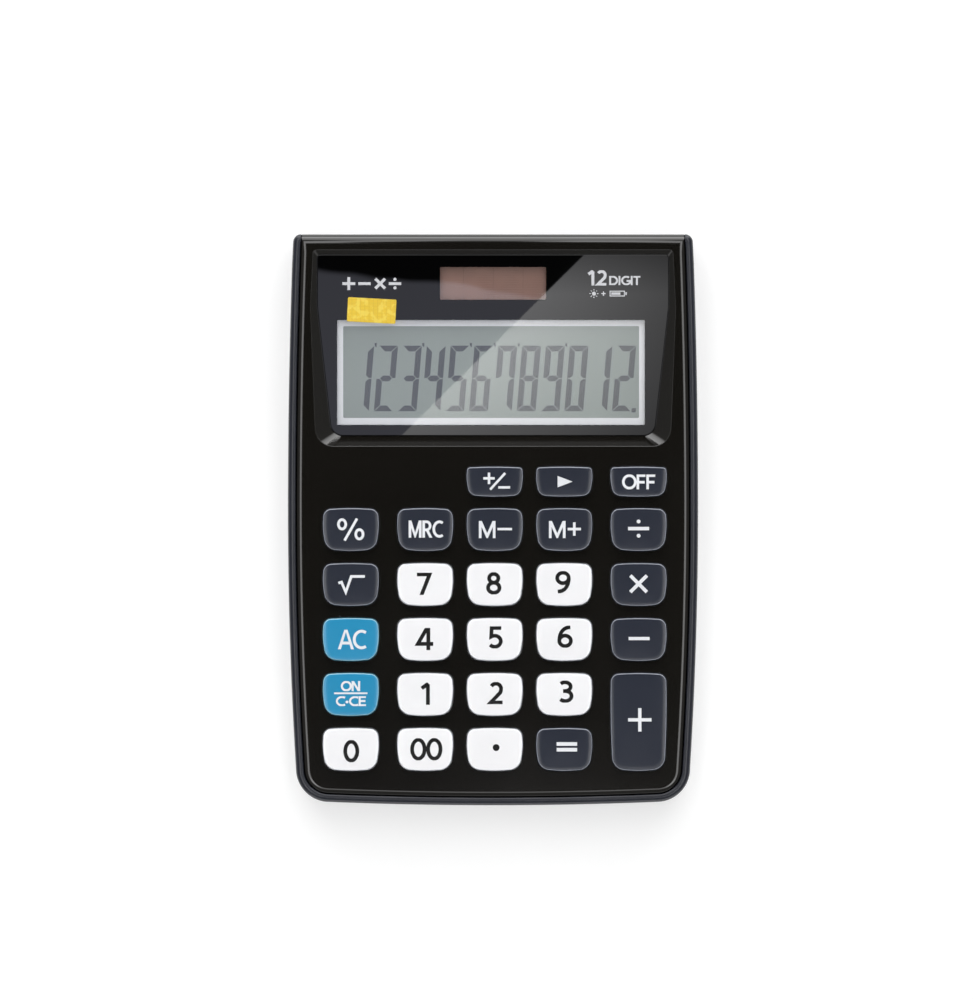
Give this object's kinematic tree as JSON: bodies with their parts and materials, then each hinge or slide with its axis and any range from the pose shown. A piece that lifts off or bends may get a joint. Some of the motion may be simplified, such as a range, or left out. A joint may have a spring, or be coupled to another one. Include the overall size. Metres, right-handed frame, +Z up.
{
  "type": "pocket calculator",
  "caption": "Wedge-shaped battery and solar pocket calculator with a recessed digit display, dome keys, split case, circuit board, button cell and hinged battery cover.",
  "frame": {"origin": "middle of the footprint, on the surface that the rubber feet stand on", "axes": "+X to the right of the keys, +Y towards the display, +Z up; the keys' face is tilted 4 degrees, higher at the display"},
  "size_m": [0.086, 0.1208, 0.0181],
  "materials": {
    "front_case": "moulded ABS, piano-black gloss",
    "rear_case": "moulded ABS, satin dark blue-grey",
    "white_key": "moulded keycap, satin white",
    "blue_key": "moulded keycap, satin blue",
    "slate_key": "moulded keycap, satin slate grey",
    "display_lens": "polished acrylic, printed black behind, clear over the display and the solar cell",
    "display_glass": "liquid crystal panel, grey-green",
    "solar_cell": "amorphous silicon cell, reddish brown",
    "film": "flexible film connector, amber",
    "circuit_board": "glass-fibre board with green solder mask",
    "epoxy": "black epoxy",
    "silicone_mat": "translucent grey silicone rubber",
    "foot_rubber": "black rubber",
    "screw_steel": "zinc-plated steel",
    "cell_steel": "nickel-plated steel can",
    "contact_steel": "nickel-plated spring steel",
    "red_wire": "vinyl-insulated wire, red",
    "black_wire": "vinyl-insulated wire, black",
    "label": "blank silvered film label",
    "sticker": "blank yellow film sticker with a fine pattern"
  },
  "bodies": {
    "case": {"front_case": "front_case", "rear_case": "rear_case", "display_lens": "display_lens", "lcd_panel": "display_glass", "lcd_connector": "film", "solar_cell": "solar_cell", "solar_wire_positive": "red_wire", "solar_wire_negative": "black_wire", "main_board": "circuit_board", "chip_blob": "epoxy", "key_mat": "silicone_mat", "button_cell": "cell_steel", "battery_contact_positive": "contact_steel", "battery_contact_negative": "contact_steel", "battery_wire_positive": "red_wire", "battery_wire_negative": "black_wire", "rating_label": "label", "inspection_sticker": "sticker", "case_screw_1": "screw_steel", "case_screw_2": "screw_steel", "case_screw_3": "screw_steel", "case_screw_4": "screw_steel", "case_screw_5": "screw_steel", "case_screw_6": "screw_steel", "board_screw_1": "screw_steel", "board_screw_2": "screw_steel", "board_screw_3": "screw_steel", "board_screw_4": "screw_steel", "foot_front_left": "foot_rubber", "foot_front_right": "foot_rubber", "foot_rear_left": "foot_rubber", "foot_rear_right": "foot_rubber"},
    "key_sign": {"key_sign": "slate_key"},
    "key_backspace": {"key_backspace": "slate_key"},
    "key_off": {"key_off": "slate_key"},
    "key_percent": {"key_percent": "slate_key"},
    "key_memory_recall": {"key_memory_recall": "slate_key"},
    "key_memory_minus": {"key_memory_minus": "slate_key"},
    "key_memory_plus": {"key_memory_plus": "slate_key"},
    "key_divide": {"key_divide": "slate_key"},
    "key_root": {"key_root": "slate_key"},
    "key_7": {"key_7": "white_key"},
    "key_8": {"key_8": "white_key"},
    "key_9": {"key_9": "white_key"},
    "key_times": {"key_times": "slate_key"},
    "key_all_clear": {"key_all_clear": "blue_key"},
    "key_4": {"key_4": "white_key"},
    "key_5": {"key_5": "white_key"},
    "key_6": {"key_6": "white_key"},
    "key_minus": {"key_minus": "slate_key"},
    "key_on_clear": {"key_on_clear": "blue_key"},
    "key_1": {"key_1": "white_key"},
    "key_2": {"key_2": "white_key"},
    "key_3": {"key_3": "white_key"},
    "key_plus": {"key_plus": "slate_key"},
    "key_0": {"key_0": "white_key"},
    "key_00": {"key_00": "white_key"},
    "key_point": {"key_point": "white_key"},
    "key_equals": {"key_equals": "slate_key"},
    "battery_cover": {"battery_cover": "rear_case"}
  },
  "joints": [
    {"name": "key_sign_press", "type": "slide", "parent": "case", "child": "key_sign", "axis": [0, 0.0698, -0.9976], "range_m": [0, 0.0012], "stiffness_N_per_m": 500, "springref_m": -0.0005, "deforming": ["key_mat"]},
    {"name": "key_backspace_press", "type": "slide", "parent": "case", "child": "key_backspace", "axis": [0, 0.0698, -0.9976], "range_m": [0, 0.0012], "stiffness_N_per_m": 500, "springref_m": -0.0005, "deforming": ["key_mat"]},
    {"name": "key_off_press", "type": "slide", "parent": "case", "child": "key_off", "axis": [0, 0.0698, -0.9976], "range_m": [0, 0.0012], "stiffness_N_per_m": 500, "springref_m": -0.0005, "deforming": ["key_mat"]},
    {"name": "key_percent_press", "type": "slide", "parent": "case", "child": "key_percent", "axis": [0, 0.0698, -0.9976], "range_m": [0, 0.0012], "stiffness_N_per_m": 500, "springref_m": -0.0005, "deforming": ["key_mat"]},
    {"name": "key_memory_recall_press", "type": "slide", "parent": "case", "child": "key_memory_recall", "axis": [0, 0.0698, -0.9976], "range_m": [0, 0.0012], "stiffness_N_per_m": 500, "springref_m": -0.0005, "deforming": ["key_mat"]},
    {"name": "key_memory_minus_press", "type": "slide", "parent": "case", "child": "key_memory_minus", "axis": [0, 0.0698, -0.9976], "range_m": [0, 0.0012], "stiffness_N_per_m": 500, "springref_m": -0.0005, "deforming": ["key_mat"]},
    {"name": "key_memory_plus_press", "type": "slide", "parent": "case", "child": "key_memory_plus", "axis": [0, 0.0698, -0.9976], "range_m": [0, 0.0012], "stiffness_N_per_m": 500, "springref_m": -0.0005, "deforming": ["key_mat"]},
    {"name": "key_divide_press", "type": "slide", "parent": "case", "child": "key_divide", "axis": [0, 0.0698, -0.9976], "range_m": [0, 0.0012], "stiffness_N_per_m": 500, "springref_m": -0.0005, "deforming": ["key_mat"]},
    {"name": "key_root_press", "type": "slide", "parent": "case", "child": "key_root", "axis": [0, 0.0698, -0.9976], "range_m": [0, 0.0012], "stiffness_N_per_m": 500, "springref_m": -0.0005, "deforming": ["key_mat"]},
    {"name": "key_7_press", "type": "slide", "parent": "case", "child": "key_7", "axis": [0, 0.0698, -0.9976], "range_m": [0, 0.0012], "stiffness_N_per_m": 500, "springref_m": -0.0005, "deforming": ["key_mat"]},
    {"name": "key_8_press", "type": "slide", "parent": "case", "child": "key_8", "axis": [0, 0.0698, -0.9976], "range_m": [0, 0.0012], "stiffness_N_per_m": 500, "springref_m": -0.0005, "deforming": ["key_mat"]},
    {"name": "key_9_press", "type": "slide", "parent": "case", "child": "key_9", "axis": [0, 0.0698, -0.9976], "range_m": [0, 0.0012], "stiffness_N_per_m": 500, "springref_m": -0.0005, "deforming": ["key_mat"]},
    {"name": "key_times_press", "type": "slide", "parent": "case", "child": "key_times", "axis": [0, 0.0698, -0.9976], "range_m": [0, 0.0012], "stiffness_N_per_m": 500, "springref_m": -0.0005, "deforming": ["key_mat"]},
    {"name": "key_all_clear_press", "type": "slide", "parent": "case", "child": "key_all_clear", "axis": [0, 0.0698, -0.9976], "range_m": [0, 0.0012], "stiffness_N_per_m": 500, "springref_m": -0.0005, "deforming": ["key_mat"]},
    {"name": "key_4_press", "type": "slide", "parent": "case", "child": "key_4", "axis": [0, 0.0698, -0.9976], "range_m": [0, 0.0012], "stiffness_N_per_m": 500, "springref_m": -0.0005, "deforming": ["key_mat"]},
    {"name": "key_5_press", "type": "slide", "parent": "case", "child": "key_5", "axis": [0, 0.0698, -0.9976], "range_m": [0, 0.0012], "stiffness_N_per_m": 500, "springref_m": -0.0005, "deforming": ["key_mat"]},
    {"name": "key_6_press", "type": "slide", "parent": "case", "child": "key_6", "axis": [0, 0.0698, -0.9976], "range_m": [0, 0.0012], "stiffness_N_per_m": 500, "springref_m": -0.0005, "deforming": ["key_mat"]},
    {"name": "key_minus_press", "type": "slide", "parent": "case", "child": "key_minus", "axis": [0, 0.0698, -0.9976], "range_m": [0, 0.0012], "stiffness_N_per_m": 500, "springref_m": -0.0005, "deforming": ["key_mat"]},
    {"name": "key_on_clear_press", "type": "slide", "parent": "case", "child": "key_on_clear", "axis": [0, 0.0698, -0.9976], "range_m": [0, 0.0012], "stiffness_N_per_m": 500, "springref_m": -0.0005, "deforming": ["key_mat"]},
    {"name": "key_1_press", "type": "slide", "parent": "case", "child": "key_1", "axis": [0, 0.0698, -0.9976], "range_m": [0, 0.0012], "stiffness_N_per_m": 500, "springref_m": -0.0005, "deforming": ["key_mat"]},
    {"name": "key_2_press", "type": "slide", "parent": "case", "child": "key_2", "axis": [0, 0.0698, -0.9976], "range_m": [0, 0.0012], "stiffness_N_per_m": 500, "springref_m": -0.0005, "deforming": ["key_mat"]},
    {"name": "key_3_press", "type": "slide", "parent": "case", "child": "key_3", "axis": [0, 0.0698, -0.9976], "range_m": [0, 0.0012], "stiffness_N_per_m": 500, "springref_m": -0.0005, "deforming": ["key_mat"]},
    {"name": "key_plus_press", "type": "slide", "parent": "case", "child": "key_plus", "axis": [0, 0.0698, -0.9976], "range_m": [0, 0.0012], "stiffness_N_per_m": 500, "springref_m": -0.0005, "deforming": ["key_mat"]},
    {"name": "key_0_press", "type": "slide", "parent": "case", "child": "key_0", "axis": [0, 0.0698, -0.9976], "range_m": [0, 0.0012], "stiffness_N_per_m": 500, "springref_m": -0.0005, "deforming": ["key_mat"]},
    {"name": "key_00_press", "type": "slide", "parent": "case", "child": "key_00", "axis": [0, 0.0698, -0.9976], "range_m": [0, 0.0012], "stiffness_N_per_m": 500, "springref_m": -0.0005, "deforming": ["key_mat"]},
    {"name": "key_point_press", "type": "slide", "parent": "case", "child": "key_point", "axis": [0, 0.0698, -0.9976], "range_m": [0, 0.0012], "stiffness_N_per_m": 500, "springref_m": -0.0005, "deforming": ["key_mat"]},
    {"name": "key_equals_press", "type": "slide", "parent": "case", "child": "key_equals", "axis": [0, 0.0698, -0.9976], "range_m": [0, 0.0012], "stiffness_N_per_m": 500, "springref_m": -0.0005, "deforming": ["key_mat"]},
    {"name": "battery_cover_hinge", "type": "hinge", "parent": "case", "child": "battery_cover", "pos_m": [-0.014, 0.04165, 0.0007], "axis": [1, 0, 0], "range_deg": [0, 70]}
  ]
}
